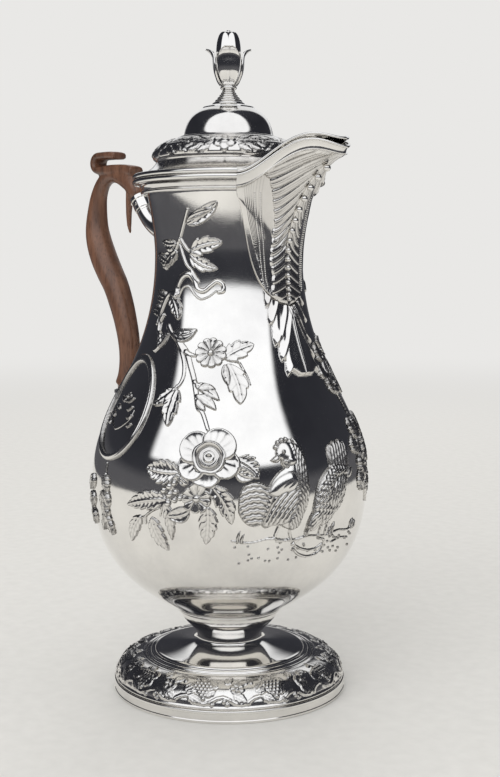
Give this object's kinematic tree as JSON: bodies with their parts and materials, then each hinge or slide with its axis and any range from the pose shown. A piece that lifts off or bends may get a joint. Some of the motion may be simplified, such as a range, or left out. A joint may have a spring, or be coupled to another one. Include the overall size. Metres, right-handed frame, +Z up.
{
  "type": "coffee pot",
  "caption": "Pear-shaped silver coffee pot on a spreading foot, with a short beak spout, a hinged domed lid with a bud finial and a carved wooden scroll handle.",
  "frame": {"origin": "centre of the foot's underside, on the pot's axis", "axes": "+Z up along the pot's axis, +X towards the tip of the spout, handle towards -X"},
  "size_m": [0.1721, 0.1324, 0.3098],
  "materials": {
    "silver": "polished",
    "silver_chased": "polished, darker in the recesses of the chasing",
    "wood": "satin, oiled fruitwood"
  },
  "bodies": {
    "pot": {"body_shell": "silver", "collar_wire": "silver", "collar_band": "silver_chased", "rim_wire": "silver", "spout": "silver_chased", "spout_rim": "silver", "spout_keel_beads": "silver", "spout_drop": "silver_chased", "foot_rim": "silver", "foot_border": "silver_chased", "foot_pedestal": "silver", "stem_ring_upper": "silver", "stem_ring_lower": "silver", "upper_socket": "silver", "lower_socket": "silver", "handle_grip": "wood", "upper_socket_pin": "silver", "lower_socket_pin": "silver", "hinge_body_leaf": "silver", "hinge_pin": "silver"},
    "lid": {"hinge_lid_leaf": "silver", "lid_cover": "silver", "lid_rim_wire": "silver", "lid_bezel": "silver", "lid_beak_cover": "silver", "finial_base": "silver", "finial_bud": "silver", "finial_leaves": "silver_chased", "finial_stud": "silver", "finial_nut": "silver"}
  },
  "joints": [
    {"name": "lid_hinge", "type": "hinge", "parent": "pot", "child": "lid", "pos_m": [-0.0472, 0, 0.24093], "axis": [0, -1, 0], "range_deg": [0, 90]}
  ]
}
